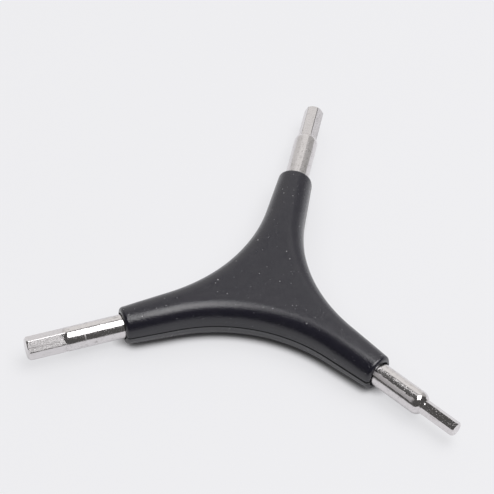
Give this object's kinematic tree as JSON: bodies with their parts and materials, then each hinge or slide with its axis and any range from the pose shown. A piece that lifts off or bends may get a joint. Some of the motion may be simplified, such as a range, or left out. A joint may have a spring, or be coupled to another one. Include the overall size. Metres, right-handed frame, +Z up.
{
  "type": "y wrench",
  "caption": "Y-shaped hex wrench: round steel keys with hex tips held in a black moulded handle made of an upper and a lower shell.",
  "frame": {"origin": "on the flat underside of the handle, straight below the point where the key axes cross", "axes": "+Z up through the handle, -X along the largest key, the other keys 60 degrees either side of +X"},
  "size_m": [0.1095, 0.126, 0.0126],
  "materials": {
    "handle_plastic": "moulded plastic, black, satin",
    "plated_steel": "bright nickel or chrome plating with fine scratches"
  },
  "bodies": {
    "root": {"upper_shell": "handle_plastic", "lower_shell": "handle_plastic", "hex_key_6mm": "plated_steel", "hex_key_5mm": "plated_steel", "hex_key_4mm": "plated_steel"}
  },
  "joints": []
}
